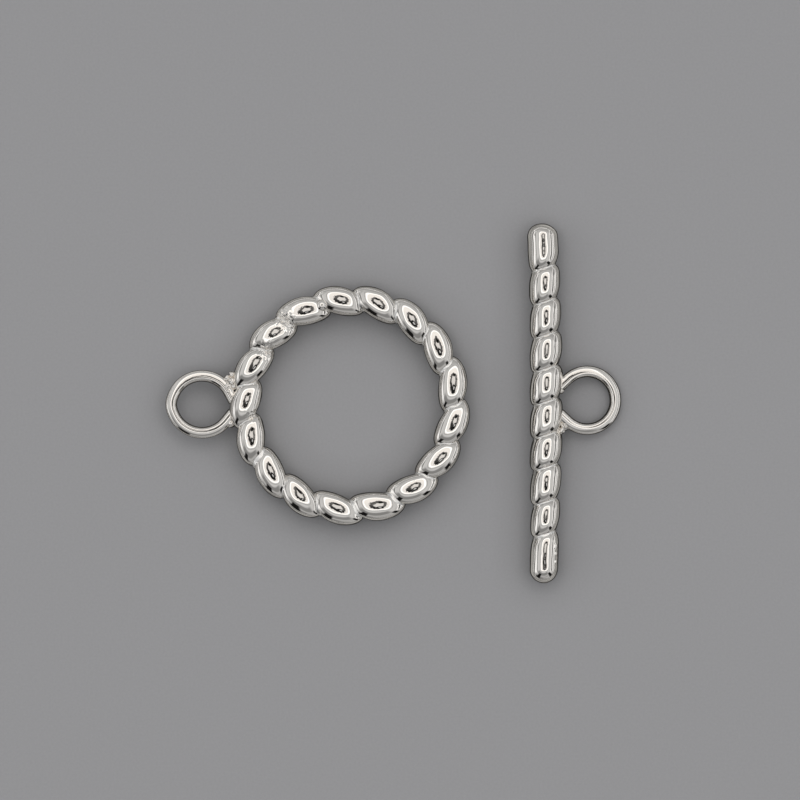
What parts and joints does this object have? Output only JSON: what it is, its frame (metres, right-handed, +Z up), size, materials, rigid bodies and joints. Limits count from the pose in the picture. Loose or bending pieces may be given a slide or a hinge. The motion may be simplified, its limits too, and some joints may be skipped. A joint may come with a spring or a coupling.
{
  "type": "toggle clasp",
  "caption": "Rope-pattern metal toggle clasp: a twisted ring and a straight twisted bar, each with a soldered wire eye, lying apart and flat.",
  "frame": {"origin": "on the surface that both pieces lie on, under the middle of the clasp's bounding box", "axes": "+X from the ring's eye to the bar's eye, +Y along the bar, +Z up from the surface"},
  "size_m": [0.0372, 0.0296, 0.0026],
  "materials": {
    "silver_plate": "bright polished silver plate over solid cast brass"
  },
  "bodies": {
    "root": {"rope_ring": "silver_plate", "rope_bar": "silver_plate"}
  },
  "joints": []
}
